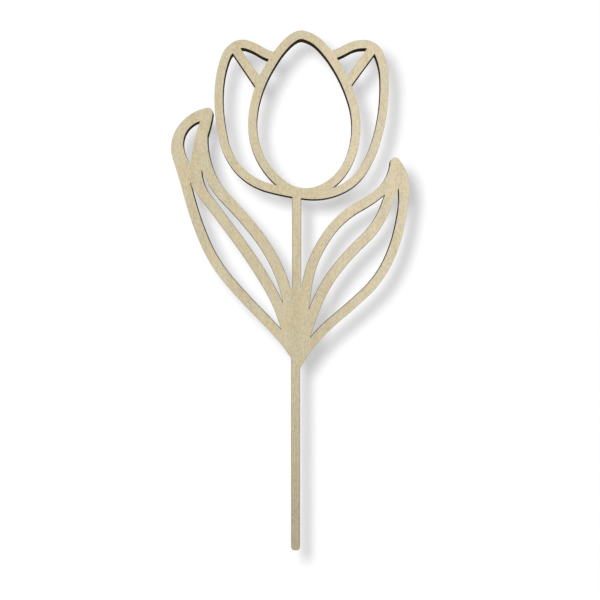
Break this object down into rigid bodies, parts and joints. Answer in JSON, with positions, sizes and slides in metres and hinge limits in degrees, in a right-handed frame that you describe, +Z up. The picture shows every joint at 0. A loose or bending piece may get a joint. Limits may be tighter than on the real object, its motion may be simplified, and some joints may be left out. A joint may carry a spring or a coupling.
{
  "type": "wooden tulip",
  "caption": "Flat tulip ornament pierced from thin plywood, with an outlined bloom, veined leaves and a long straight stake to push into a flower pot.",
  "frame": {"origin": "middle of the stake's lower end, halfway through the sheet", "axes": "+Z up the stem towards the bloom, +X across the sheet towards the right leaf as seen from the front, front face towards -Y"},
  "size_m": [0.1196, 0.003, 0.2601],
  "materials": {
    "face_veneer": "sanded, bare",
    "core_veneer": "rough, bare",
    "glue": "dull, hard"
  },
  "bodies": {
    "root": {"front_veneer": "face_veneer", "front_glue_line": "glue", "core_veneer": "core_veneer", "back_glue_line": "glue", "back_veneer": "face_veneer"}
  },
  "joints": []
}
